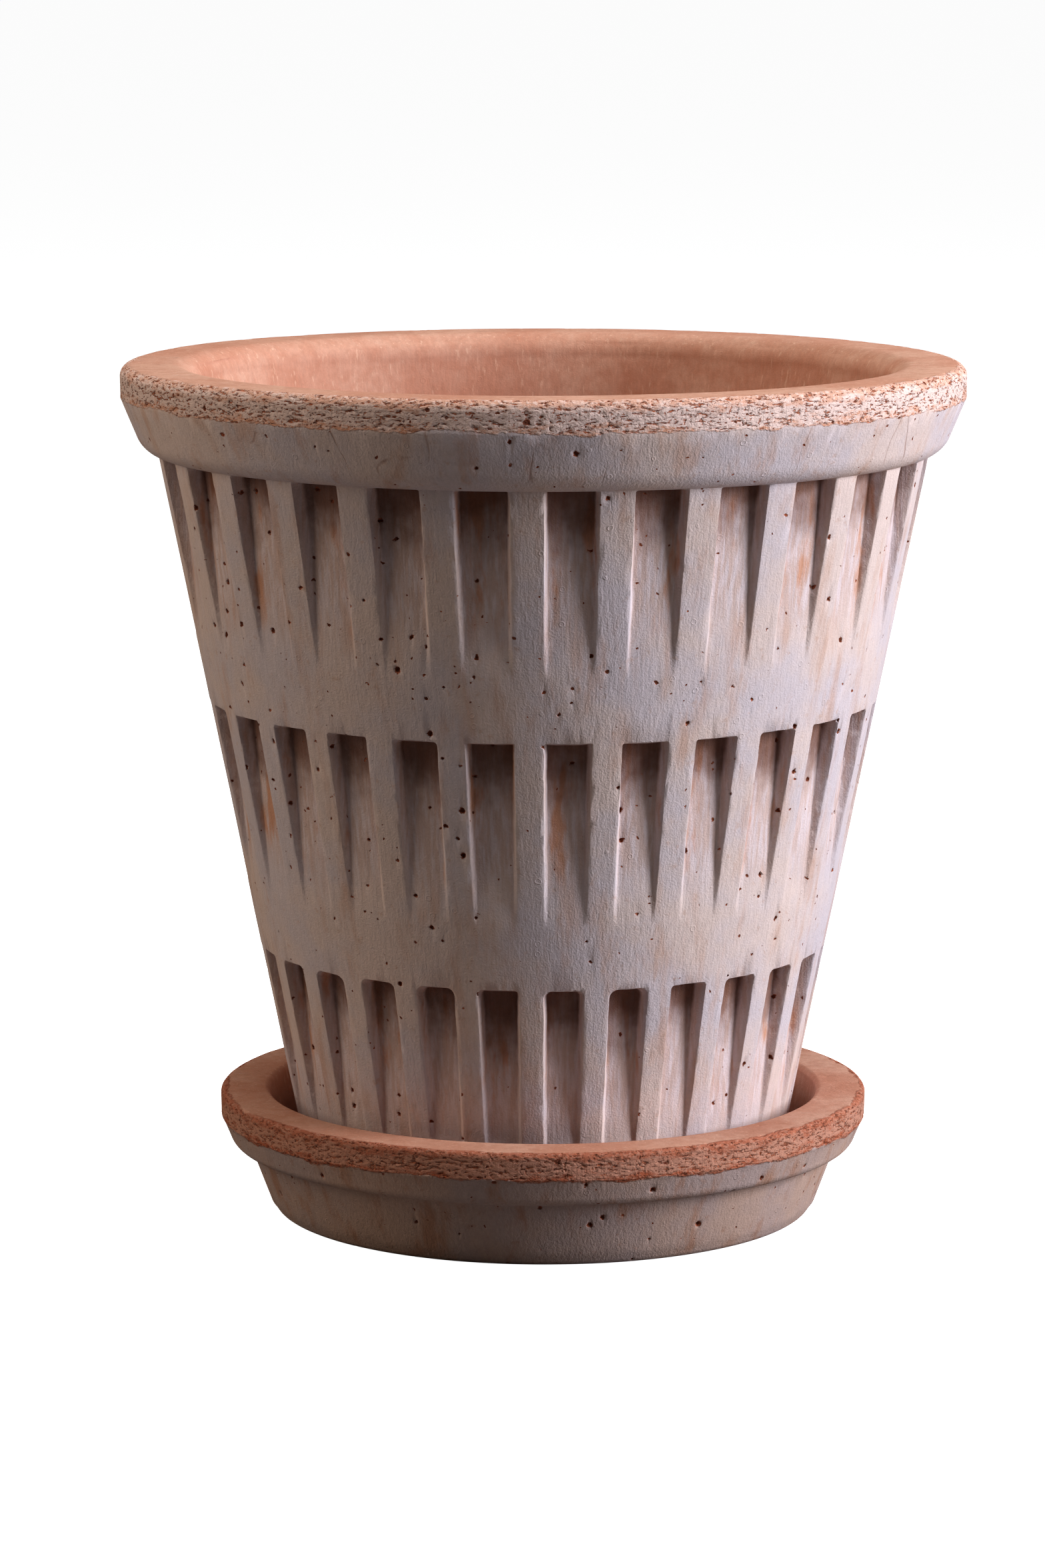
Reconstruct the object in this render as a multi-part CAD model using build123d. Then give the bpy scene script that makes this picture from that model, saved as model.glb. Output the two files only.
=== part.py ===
from build123d import *
import math
import os

# Fluted terracotta pot standing in its saucer. Millimetres, +Z up, front of the pot at -Y.
# The origin is the centre of the saucer's base, on the surface that the saucer stands on.

# Pot: overall sizes
pot_height = 205.5           # foot to the flat top of the rim
rim_diameter = 210.0         # across the widest part of the rim
foot_diameter = 118.0        # across the foot of the pot

# Pot: rim
rim_height = 22.2            # top of the rim to its underside
rim_overhang = 9.2           # how far the rim stands out from the body below it
rim_top_bevel_width = 2.4    # broken edge between the flat top and the rough band
rim_top_bevel_drop = 2.7
rim_band_height = 8.0        # rough upright band, measured from the top of the rim
rim_slope_in = 4.0           # how far the smooth face below the band leans in
rim_slope_height = 10.2
rim_lower_radius = 6.5       # rounded lower corner of the rim

# Pot: wall and floor
wall_thickness = 13.0        # level thickness of the plain wall
floor_thickness = 12.0
inner_floor_radius = 8.0     # rounded corner between the wall and the floor, inside
mouth_radius = 6.0           # rounded edge between the inner wall and the flat top
foot_edge_radius = 1.5
drain_diameter = 22.0

# Pot: flutes, pressed into the wall in rows one above the other
flute_rows = 3
flutes_around = 28
flute_depth = 4.2            # below the wall's surface at the upper ledge
rib_angle = 4.86             # degrees of wall left standing between two flutes
rib_start_angle = -2.34      # first rib's centre, from the front towards +X
plain_band = 15.8            # plain wall between two rows
foot_band = 14.6             # plain wall below the lowest row
flute_run_under_rim = 0.8    # the top row runs on into the rim by this much

# Saucer
saucer_height = 31.0
well_gap = 6.0               # level gap all round between the pot and the saucer's well
saucer_rim_width = 11.9      # flat top of the rim, outer edge to the well
saucer_band_height = 7.0     # rough upright band of the rim
saucer_lip_height = 6.8      # smooth lip that curves in below the band
saucer_lip_in = 3.4
saucer_lip_radius = 3.0
saucer_wall_lean = 20.1      # degrees from upright, outside of the wall
saucer_base_radius = 4.0     # rounded lower corner
saucer_wall_thickness = 6.0  # level thickness at the floor
saucer_floor_thickness = 8.0
saucer_well_radius = 4.0     # rounded corner between the floor and the wall, inside

# Worked out from the sizes above
foot_z = saucer_floor_thickness
rim_top_z = foot_z + pot_height
rim_under_z = rim_top_z - rim_height
rim_radius = rim_diameter / 2
foot_radius = foot_diameter / 2
body_top_radius = rim_radius - rim_overhang
body_slope = (body_top_radius - foot_radius) / (rim_under_z - foot_z)
row_pitch = (rim_under_z - foot_z + flute_run_under_rim - foot_band + plain_band) / flute_rows
row_length = row_pitch - plain_band
flute_angle = 360 / flutes_around - rib_angle
saucer_under_z = saucer_height - saucer_band_height - saucer_lip_height


def body_radius(z):
    """Outside radius of the plain tapered wall at a height."""
    return foot_radius + body_slope * (z - foot_z)


def well_radius(z):
    """Inside radius of the saucer at a height: the pot's wall and the gap round it."""
    return body_radius(z) + well_gap


def saucer_wall_radius(z):
    """Outside radius of the saucer's wall, below its rim."""
    lean = math.tan(math.radians(saucer_wall_lean))
    return well_radius(foot_z) + saucer_wall_thickness + lean * (z - foot_z)


def revolved(outline):
    """A closed outline of (radius, height) points, turned round the Z axis."""
    face = make_face(Plane.XZ * Polyline(*outline, close=True))
    return revolve(face, axis=Axis.Z)


def edge_circles(solid, radius, z):
    """The circular edges of a solid at one radius and height."""
    found = []
    for edge in solid.edges().filter_by(GeomType.CIRCLE):
        same_radius = abs(edge.radius - radius) < 0.01
        same_height = abs(edge.arc_center.Z - z) < 0.01
        if same_radius and same_height:
            found.append(edge)
    return found


def clay_body():
    """The solid tapered body, before the flutes, the rim and the hollow."""
    body = revolved([
        (0, foot_z),
        (foot_radius, foot_z),
        (body_radius(rim_under_z + rim_height / 2), rim_under_z + rim_height / 2),
        (0, rim_under_z + rim_height / 2),
    ])
    return fillet(edge_circles(body, foot_radius, foot_z), foot_edge_radius)


def flute_cutter(top_z):
    """One flute: a flat ledge at the top and a floor that runs out to the wall's surface."""
    bottom_z = top_z - row_length
    ledge_radius = body_radius(top_z) - flute_depth
    floor_slope = (body_radius(bottom_z) - ledge_radius) / row_length
    run_out = flute_depth / 4
    outline = [
        (ledge_radius, top_z),
        (body_radius(top_z) + flute_depth, top_z),
        (body_radius(bottom_z) + flute_depth, bottom_z - run_out),
        (body_radius(bottom_z) + floor_slope * run_out, bottom_z - run_out),
    ]
    face = make_face(Plane.XZ * Polyline(*outline, close=True))
    return revolve(face, axis=Axis.Z, revolution_arc=flute_angle)


def flute_cutters():
    """Every flute, row by row and round the wall."""
    cutters = []
    first_angle = -90 + rib_start_angle + rib_angle / 2
    for row in range(flute_rows):
        cutter = flute_cutter(rim_under_z + flute_run_under_rim - row * row_pitch)
        for place in range(flutes_around):
            turn = first_angle + place * 360 / flutes_around
            cutters.append(Rot(0, 0, turn) * cutter)
    return cutters


def rim_ring():
    """The rolled rim, solid to the axis, so that the hollow is cut through it later."""
    band_low_z = rim_top_z - rim_band_height
    slope_low_z = band_low_z - rim_slope_height
    rim = revolved([
        (0, rim_under_z),
        (rim_radius - rim_slope_in - (slope_low_z - rim_under_z), rim_under_z),
        (rim_radius - rim_slope_in, slope_low_z),
        (rim_radius, band_low_z),
        (rim_radius, rim_top_z - rim_top_bevel_drop),
        (rim_radius - rim_top_bevel_width, rim_top_z),
        (0, rim_top_z),
    ])
    return fillet(edge_circles(rim, rim_radius - rim_slope_in, slope_low_z), rim_lower_radius)


def pot_hollow():
    """The space inside the pot, with the drain hole."""
    floor_z = foot_z + floor_thickness
    floor_radius = body_radius(floor_z) - wall_thickness
    hollow = revolved([
        (0, floor_z),
        (floor_radius, floor_z),
        (body_radius(rim_top_z) - wall_thickness, rim_top_z),
        (0, rim_top_z),
    ])
    hollow = fillet(edge_circles(hollow, floor_radius, floor_z), inner_floor_radius)
    drain_centre_z = foot_z + floor_thickness / 2
    drain = Pos(0, 0, drain_centre_z) * Cylinder(drain_diameter / 2, floor_thickness * 2)
    return hollow + drain


def make_pot():
    """The whole pot: the body is fluted before the rim covers the top of the flutes."""
    pot = clay_body() - flute_cutters() + rim_ring() - pot_hollow()
    mouth = edge_circles(pot, body_radius(rim_top_z) - wall_thickness, rim_top_z)
    return fillet(mouth, mouth_radius)


def make_saucer():
    """The saucer: a rim band and lip over a tapered wall, and a round well for the pot."""
    saucer_radius = well_radius(saucer_height) + saucer_rim_width
    lip_low_radius = saucer_radius - saucer_lip_in
    base_radius = saucer_wall_radius(0)
    outer = revolved([
        (0, 0),
        (base_radius, 0),
        (saucer_wall_radius(saucer_under_z), saucer_under_z),
        (lip_low_radius, saucer_under_z),
        (saucer_radius, saucer_under_z + saucer_lip_height),
        (saucer_radius, saucer_height),
        (0, saucer_height),
    ])
    outer = fillet(edge_circles(outer, lip_low_radius, saucer_under_z), saucer_lip_radius)
    outer = fillet(edge_circles(outer, base_radius, 0), saucer_base_radius)
    well = revolved([
        (0, foot_z),
        (well_radius(foot_z), foot_z),
        (well_radius(saucer_height), saucer_height),
        (0, saucer_height),
    ])
    well = fillet(edge_circles(well, well_radius(foot_z), foot_z), saucer_well_radius)
    return outer - well


os.makedirs("parts", exist_ok=True)
pieces = {
    "pot": make_pot(),
    "saucer": make_saucer(),
}
for name, piece in pieces.items():
    solids = piece.solids()
    print(name, "solids", len(solids), "volume", round(piece.volume), "mm3")
    export_step(Compound(label=name, children=[Part(solids[0].wrapped)]), f"parts/{name}.step")
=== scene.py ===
# %% [markdown]
# # A fluted terracotta pot in its saucer
#
# A heavy clay plant pot, pressed in a mould, with a rolled rim and three rows of flutes
# pressed into its wall. It stands loose in a round saucer of the same clay. Both pieces
# are a turned outline with something done to it, so both are made the same way: a short
# list of sizes gives the outline, a Geometry Nodes tree turns it round the axis and works
# the clay, and shader nodes give the bare, the lime-bloomed and the torn clay their looks.

# %% Load the frame
import math
import bpy
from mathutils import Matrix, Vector


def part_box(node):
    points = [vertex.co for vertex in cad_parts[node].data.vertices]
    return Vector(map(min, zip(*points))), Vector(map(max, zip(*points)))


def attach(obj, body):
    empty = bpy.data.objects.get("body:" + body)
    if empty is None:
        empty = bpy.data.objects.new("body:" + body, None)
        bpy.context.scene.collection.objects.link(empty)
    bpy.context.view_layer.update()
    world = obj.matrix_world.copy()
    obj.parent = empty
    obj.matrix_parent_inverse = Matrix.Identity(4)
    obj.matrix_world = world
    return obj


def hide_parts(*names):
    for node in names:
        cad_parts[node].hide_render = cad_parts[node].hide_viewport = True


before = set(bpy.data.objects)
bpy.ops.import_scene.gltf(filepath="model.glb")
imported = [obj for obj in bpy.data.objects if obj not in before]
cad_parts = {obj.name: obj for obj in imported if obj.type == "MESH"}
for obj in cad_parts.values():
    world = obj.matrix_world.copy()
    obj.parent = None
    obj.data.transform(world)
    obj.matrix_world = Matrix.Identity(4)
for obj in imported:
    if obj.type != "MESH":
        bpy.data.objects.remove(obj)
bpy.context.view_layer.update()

# %% [markdown]
# ## Sizes
#
# The overall sizes come from the frame, so the pieces always fit the CAD parts that they
# stand for. The others are the potter's own: where the rim's faces meet, how deep the
# flutes are, how far apart. Everything is in metres, so one helper keeps millimetres
# readable.

# %% Sizes from the frame


def mm(size):
    """Millimetres to metres."""
    return size / 1000


pot_low, pot_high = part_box("pot")
_, saucer_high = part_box("saucer")
foot_z = pot_low.z
rim_top_z = pot_high.z
rim_radius = mm(105)
saucer_top_z = saucer_high.z
saucer_radius = mm(81.5)
print("pot from", round(foot_z, 4), "to", round(rim_top_z, 4), "saucer top", round(saucer_top_z, 4))

# %% Sizes of the pot
foot_radius = mm(59)
body_top_radius = mm(95.8)
rim_under_z = rim_top_z - mm(22.2)
body_slope = (body_top_radius - foot_radius) / (rim_under_z - foot_z)
wall = mm(13)
floor_z = foot_z + mm(12)
drain_radius = mm(11)

flutes_around = 28
flute_rows = 3
flute_depth = mm(4.2)
flute_pitch = math.tau / flutes_around
rib_angle = math.radians(4.86)
rib_start = math.radians(-2.34)
plain_band = mm(15.8)
foot_band = mm(14.6)
run_under_rim = mm(0.8)
row_pitch = (rim_under_z - foot_z + run_under_rim - foot_band + plain_band) / flute_rows
row_length = row_pitch - plain_band
row_tops = [rim_under_z + run_under_rim - row * row_pitch for row in range(flute_rows)]


def body_radius(z):
    """Outside radius of the plain tapered wall."""
    return foot_radius + body_slope * (z - foot_z)


print("flute rows end at", [round(top, 4) for top in row_tops])

# %% [markdown]
# ## Camera
#
# A long lens from a little above, so the mouth shows as a thin ellipse. The pot's axis
# stands slightly right of the middle of the picture, so the camera is turned a fraction of
# a degree to its left rather than shifted.

# %% Camera
camera_data = bpy.data.cameras.new("camera")
camera_data.lens = 130.7
camera_data.sensor_width = 36
camera_data.dof.use_dof = False
camera = bpy.data.objects.new("camera", camera_data)
camera.location = (0, -1.4088, 0.3349)
camera.rotation_euler = (math.radians(90 - 9.174), 0, math.radians(0.211))
bpy.context.scene.collection.objects.link(camera)
bpy.context.scene.camera = camera

# %% [markdown]
# ## Node helpers
#
# Geometry trees and shader trees share their maths, noise and mapping nodes, so a few
# helpers serve both. Each one adds a node, feeds its inputs from sockets or plain values,
# and gives back what the next step needs.

# %% Node helpers


def feed(tree, socket, value):
    """Link a socket, or set a plain value."""
    if isinstance(value, bpy.types.NodeSocket):
        tree.links.new(value, socket)
    else:
        socket.default_value = value


def add(tree, kind, values=(), **settings):
    """Add a node; values feed its inputs in order, or by name when they are a dict."""
    node = tree.nodes.new(kind)
    for name, setting in settings.items():
        setattr(node, name, setting)
    pairs = values.items() if isinstance(values, dict) else enumerate(values)
    for key, value in pairs:
        if value is not None:
            feed(tree, node.inputs[key], value)
    return node


def calc(tree, operation, *values):
    """A Math node's result."""
    return add(tree, "ShaderNodeMath", values, operation=operation).outputs[0]


def vec(tree, operation, *values):
    """A Vector Math node's vector result."""
    return add(tree, "ShaderNodeVectorMath", values, operation=operation).outputs[0]


def ramp(tree, value, low, high, to_low=0.0, to_high=1.0, kind="SMOOTHSTEP"):
    """Map a value from one range to another, held at both ends."""
    node = add(
        tree, "ShaderNodeMapRange", [value, low, high, to_low, to_high],
        interpolation_type=kind, clamp=True,
    )
    return node.outputs[0]


def noise(tree, vector, scale, detail=2.0, rough=0.5, seed=0.0):
    """Noise in four dimensions, so that the fourth can be a seed; gives its value."""
    node = add(
        tree, "ShaderNodeTexNoise",
        {"Vector": vector, "W": seed, "Scale": scale, "Detail": detail, "Roughness": rough},
        noise_dimensions="4D",
    )
    return node.outputs[0]


def combine(tree, x, y, z):
    """Three values to a vector."""
    return add(tree, "ShaderNodeCombineXYZ", [x, y, z]).outputs[0]


def split(tree, vector):
    """A vector's three values."""
    return add(tree, "ShaderNodeSeparateXYZ", [vector]).outputs


def length(tree, vector):
    """A vector's length."""
    return add(tree, "ShaderNodeVectorMath", [vector], operation="LENGTH").outputs["Value"]


def group_socket(tree, name, kind, output=False, default=None):
    """A named input or output on a node group."""
    way = "OUTPUT" if output else "INPUT"
    socket = tree.interface.new_socket(name, in_out=way, socket_type="NodeSocket" + kind)
    if default is not None:
        socket.default_value = default
    return socket

# %% [markdown]
# ## Outlines
#
# A potter turns a profile against the wheel. Here the profile is a list of points in the
# plane of the axis, each with the few facts that the clay needs there: how deep a flute may
# be pressed, how far above a flute's ledge the point lies, how round the flute's corners
# are, how much the surface is pitted, and how freely the knife trimmed it. Straight
# stretches and rounded corners are drawn with two helpers, and their spacing is finer where
# the surface has more to show.

# %% Outline helpers
outline_facts = ("r", "z", "row", "flute_depth", "above_ledge", "corner", "pitted", "trimmed")
far_above = 1.0


def fact(radius, z, **facts):
    """One outline point with its facts; a fact that isn't given is nought."""
    point = dict.fromkeys(outline_facts, 0.0)
    point.update(r=radius, z=z, above_ledge=far_above)
    point.update(facts)
    return point


def straight(points, radius, z, spacing, **facts):
    """Carry the outline on in a straight line, in equal steps."""
    last = points[-1]
    count = max(1, round(math.hypot(radius - last["r"], z - last["z"]) / spacing))
    for step in range(1, count + 1):
        share = step / count
        r = last["r"] + (radius - last["r"]) * share
        points.append(fact(r, last["z"] + (z - last["z"]) * share, **facts))


def rounded(points, centre, radius, start, end, spacing, **facts):
    """Carry the outline on round an arc, from one angle to another in degrees."""
    count = max(2, round(abs(math.radians(end - start)) * radius / spacing))
    for step in range(count + 1):
        angle = math.radians(start + (end - start) * step / count)
        r = centre[0] + radius * math.cos(angle)
        points.append(fact(r, centre[1] + radius * math.sin(angle), **facts))


# %% Facts of the fluted wall
flute_corners = (mm(0.5), mm(0.7), mm(1.5))


def flute_facts(z):
    """How a flute is pressed at a height: its depth tapers from the ledge to nothing."""
    facts = {"pitted": 1.0}
    for row, top in enumerate(row_tops):
        share = (z - (top - row_length)) / row_length
        if share > 0 and z < top + mm(1.5):
            facts["row"] = row
            facts["flute_depth"] = flute_depth * min(share, 1.0)
            facts["above_ledge"] = z - top
            facts["corner"] = flute_corners[row]
    return facts


def wall_heights():
    """Heights of the wall's rows, close together round each ledge."""
    heights = []
    z = foot_z + mm(1.5)
    while z < rim_under_z - mm(0.3):
        near = min(abs(z - top + mm(0.4)) for top in row_tops)
        z += mm(0.16) if near < mm(1.1) else mm(0.58)
        heights.append(z)
    return heights


# %% The pot's outline
band_low_z = rim_top_z - mm(8)
band_inner_radius = rim_radius - mm(2.7)
rim_edge_round = mm(2.9)
mouth_round = mm(6)
lip_low_z = rim_top_z - mouth_round


def pot_outline():
    """From the drain hole, out under the foot, up the wall, over the rim and down inside."""
    points = [fact(drain_radius, foot_z)]
    straight(points, foot_radius - mm(1.5), foot_z, mm(3))
    rounded(points, (foot_radius - mm(1.5), foot_z + mm(1.5)), mm(1.5), -70, -10, mm(0.6))
    for z in wall_heights():
        points.append(fact(body_radius(z), z, **flute_facts(z)))
    corner = (rim_radius - mm(11), rim_under_z + mm(7.5))
    rounded(points, corner, mm(7.5), -76, -20, mm(0.5), pitted=1.0)
    straight(points, rim_radius - mm(0.1), band_low_z, mm(0.5), pitted=1.0)
    straight(points, rim_radius, rim_top_z - rim_edge_round, mm(0.3))
    edge = (rim_radius - rim_edge_round, rim_top_z - rim_edge_round)
    rounded(points, edge, rim_edge_round, 8, 88, mm(0.3))
    lip_radius = body_radius(lip_low_z) - wall
    straight(points, lip_radius + mouth_round + mm(2), rim_top_z, mm(0.8))
    straight(points, lip_radius + mouth_round, rim_top_z, mm(0.6), trimmed=0.1)
    lip = (lip_radius + mouth_round, lip_low_z)
    rounded(points, lip, mouth_round, 98, 140, mm(0.6), trimmed=0.5)
    rounded(points, lip, mouth_round, 144, 180, mm(0.6), trimmed=1.0)
    straight(points, body_radius(lip_low_z - mm(1.5)) - wall, lip_low_z - mm(1.5), mm(0.7), trimmed=0.5)
    straight(points, body_radius(lip_low_z - mm(4)) - wall, lip_low_z - mm(4), mm(1.2), trimmed=0.15)
    straight(points, body_radius(floor_z + mm(8)) - wall, floor_z + mm(8), mm(2.5))
    rounded(points, (body_radius(floor_z) - wall - mm(7), floor_z + mm(8)), mm(8), -5, -90, mm(1.5))
    straight(points, drain_radius, floor_z, mm(3))
    straight(points, drain_radius, foot_z, mm(2))
    return points


print("pot outline points", len(pot_outline()))

# %% The saucer's outline
saucer_floor_z = foot_z
well_gap = mm(6)
saucer_band_low_z = saucer_top_z - mm(7)
saucer_band_inner_radius = saucer_radius - mm(1.6)
saucer_under_z = saucer_top_z - mm(13.8)
saucer_wall_lean = math.tan(math.radians(20.1))


def well_radius(z):
    """Inside radius of the saucer: the pot's wall and the gap round it."""
    return body_radius(z) + well_gap


def saucer_wall_radius(z):
    """Outside radius of the saucer's wall, below its rim."""
    return well_radius(foot_z) + mm(6) + saucer_wall_lean * (z - foot_z)


def saucer_outline():
    """From the middle of the well over the rim to the middle of the base, then turned round
    to run the same way as the pot's, because the way it runs decides which side faces out."""
    points = [fact(0, saucer_floor_z)]
    straight(points, well_radius(foot_z) - mm(3.6), saucer_floor_z, mm(2.5))
    corner = (well_radius(foot_z) - mm(3.2), saucer_floor_z + mm(4))
    rounded(points, corner, mm(4), -85, -12, mm(1))
    straight(points, well_radius(saucer_top_z) - mm(0.6), saucer_top_z - mm(1.6), mm(1), pitted=0.5)
    edge = (well_radius(saucer_top_z) + mm(1), saucer_top_z - mm(1.6))
    rounded(points, edge, mm(1.6), 170, 92, mm(0.4), trimmed=0.15)
    straight(points, saucer_radius - mm(1.5), saucer_top_z, mm(0.6), pitted=0.4)
    edge = (saucer_radius - mm(1.4), saucer_top_z - mm(1.4))
    rounded(points, edge, mm(1.4), 84, 4, mm(0.28))
    straight(points, saucer_radius - mm(0.1), saucer_band_low_z + mm(0.3), mm(0.28))
    straight(points, saucer_radius - mm(0.5), saucer_band_low_z - mm(0.2), mm(0.28))
    straight(points, saucer_radius - mm(2.1), saucer_under_z + mm(2.8), mm(0.45), pitted=1.0)
    lip_centre = (saucer_radius - mm(5.5), saucer_under_z + mm(3.4))
    rounded(points, lip_centre, mm(3.4), -15, -88, mm(0.45), pitted=1.0)
    straight(points, saucer_wall_radius(saucer_under_z) + mm(0.7), saucer_under_z, mm(0.5))
    straight(points, saucer_wall_radius(saucer_under_z) - mm(0.2), saucer_under_z - mm(0.9), mm(0.4))
    straight(points, saucer_wall_radius(mm(3)), mm(3), mm(0.5), pitted=1.0)
    rounded(points, (saucer_wall_radius(0) - mm(2.7), mm(3.2)), mm(3.2), -22, -88, mm(0.5), pitted=1.0)
    straight(points, 0, 0, mm(3))
    return points[::-1]


print("saucer outline points", len(saucer_outline()))

# %% [markdown]
# ## Marks that the shape and the colour share
#
# A pore or a tear has to be a dent in the mesh and a change of colour at the same place. So
# three functions build the same nodes in a geometry tree and in a shader: they take a place
# in the clay and say how much of a pore, a tear or a torn zone is there. The mesh keeps each
# point's place from before it was dented, as an attribute, and the shader starts from it.

# %% Pores
pore_raggedness = mm(1.5)
least_pore = mm(0.01)


def pore_mask(tree, vector, spacing, size, seed):
    """Ragged pores of many sizes scattered through the clay; gives mask and pore radius."""
    ragged = add(
        tree, "ShaderNodeTexNoise",
        {"Vector": vector, "W": seed, "Scale": 800.0, "Detail": 2.0, "Roughness": 0.6},
        noise_dimensions="4D",
    ).outputs["Color"]
    shift = vec(tree, "MULTIPLY", vec(tree, "SUBTRACT", ragged, (0.5, 0.5, 0.5)), (pore_raggedness,) * 3)
    moved = vec(tree, "ADD", vec(tree, "ADD", vector, shift), combine(tree, 0.0, seed, 0.0))
    cells = add(
        tree, "ShaderNodeTexVoronoi",
        {"Vector": moved, "Scale": calc(tree, "DIVIDE", 1.0, spacing)},
    )
    chance, _, _ = split(tree, cells.outputs["Color"])
    crowd = ramp(tree, noise(tree, vector, 22.0, 2.0, 0.5, seed), 0.40, 0.60, 0.35, 0.0, "LINEAR")
    share = calc(tree, "SUBTRACT", ramp(tree, chance, 0.25, 1.0, 0.0, 1.0, "LINEAR"), crowd)
    radius = calc(tree, "MULTIPLY", calc(tree, "MAXIMUM", share, 0.0), size)
    radius = calc(tree, "MAXIMUM", radius, least_pore)
    distance = calc(tree, "MULTIPLY", cells.outputs["Distance"], spacing)
    return ramp(tree, distance, calc(tree, "MULTIPLY", radius, 0.45), radius, 1.0, 0.0), radius


# %% Tears
edge_wander = mm(5)


def tear_mask(tree, vector, seed):
    """Flat, level tears, as where clay is dragged over an edge, and small holes between."""
    level = vec(tree, "MULTIPLY", vector, (1.0, 1.0, 3.8))
    crust = noise(tree, level, 430.0, 4.0, 0.72, seed)
    tears = ramp(tree, crust, 0.40, 0.455, 1.0, 0.0)
    holes = noise(tree, vec(tree, "MULTIPLY", vector, (1.0, 1.0, 1.4)), 1050.0, 1.0, 0.5, seed)
    return calc(tree, "MAXIMUM", tears, ramp(tree, holes, 0.33, 0.38, 0.8, 0.0))


def torn_zone(tree, vector, low, radius, seed):
    """Where the clay is torn: above one wandering line and outside another."""
    x, y, z = split(tree, vector)
    from_axis = length(tree, combine(tree, x, y, 0.0))
    wander = calc(tree, "SUBTRACT", noise(tree, vector, 110.0, 4.0, 0.6, seed), 0.5)
    above = calc(tree, "MULTIPLY_ADD", wander, edge_wander, calc(tree, "SUBTRACT", z, low))
    beyond = calc(tree, "SUBTRACT", from_axis, radius)
    outside = calc(tree, "MULTIPLY_ADD", wander, edge_wander, beyond)
    above = ramp(tree, above, mm(-0.2), mm(0.3))
    return calc(tree, "MULTIPLY", above, ramp(tree, outside, mm(-0.3), mm(0.3)))


# %% [markdown]
# ## The tree that turns and presses the clay
#
# A lathe could be a Screw modifier, but the flutes want their own columns: few on the flat
# of a flute or a rib, many across the flute's steep sides. So the tree starts from a plain
# grid, finds each point's place round the pot and along the outline from its place in the
# grid, and moves it there. A flute is a rounded rectangle with leaning sides: its signed
# distance says how deep the stamp went in. Then the whole shape is warped a little, as wet
# clay is when it leaves the mould, and last the surface is broken by pores and tears.

# %% Tree inputs
clay_inputs = (
    ("Sectors", "Int", 28),
    ("Columns", "Int", 48),
    ("Flute Angle", "Float", 0.14),
    ("First Flute", "Float", 0.0),
    ("Side Lean", "Float", mm(0.85)),
    ("Unevenness", "Float", mm(0.2)),
    ("Warp", "Float", mm(0.6)),
    ("Trim", "Float", mm(4.5)),
    ("Pore Spacing", "Float", mm(6)),
    ("Pore Size", "Float", mm(1)),
    ("Band Low", "Float", mm(100)),
    ("Band Radius", "Float", mm(100)),
    ("Tear Depth", "Float", mm(0.36)),
    ("Seed", "Float", 0.0),
)


def start_clay_tree():
    """An empty geometry tree with its named inputs."""
    tree = bpy.data.node_groups.new("turned clay", "GeometryNodeTree")
    tree.interface.new_socket("Outline", in_out="INPUT", socket_type="NodeSocketGeometry")
    for name, kind, default in clay_inputs:
        group_socket(tree, name, kind, default=default)
    group_socket(tree, "Material", "Material")
    tree.interface.new_socket("Clay", in_out="OUTPUT", socket_type="NodeSocketGeometry")
    return tree


# %% Columns round the pot
floor_share = 0.30
side_share = 0.72
side_reach_in = 0.0185
side_reach_out = 0.0050


def column_angles(tree, given, column):
    """Angle from the nearest flute's centre, angle round the pot, and the flute's number."""
    sector = calc(tree, "FLOOR", calc(tree, "DIVIDE", column, given["Columns"]))
    place = calc(tree, "SUBTRACT", column, calc(tree, "MULTIPLY", sector, given["Columns"]))
    half_columns = calc(tree, "DIVIDE", given["Columns"], 2.0)
    side = calc(tree, "SUBTRACT", place, half_columns)
    share = calc(tree, "DIVIDE", calc(tree, "ABSOLUTE", side), half_columns)
    half = calc(tree, "DIVIDE", given["Flute Angle"], 2.0)
    floor_end = calc(tree, "SUBTRACT", half, side_reach_in)
    pitch = calc(tree, "DIVIDE", math.tau, given["Sectors"])
    side_end = calc(tree, "ADD", half, side_reach_out)
    rib_part = calc(tree, "SUBTRACT", calc(tree, "DIVIDE", pitch, 2.0), side_end)
    on_floor = ramp(tree, share, 0.0, floor_share, 0.0, floor_end, "LINEAR")
    on_side = ramp(tree, share, floor_share, side_share, 0.0, side_reach_in + side_reach_out, "LINEAR")
    on_rib = ramp(tree, share, side_share, 1.0, 0.0, rib_part, "LINEAR")
    off_centre = calc(tree, "ADD", on_floor, calc(tree, "ADD", on_side, on_rib))
    signed = calc(tree, "MULTIPLY", calc(tree, "SIGN", side), off_centre)
    turn = calc(tree, "MULTIPLY_ADD", sector, pitch, given["First Flute"])
    return off_centre, calc(tree, "ADD", turn, signed), calc(tree, "MODULO", sector, given["Sectors"])


# %% How deep the stamp goes
edge_softness = 0.16


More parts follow.
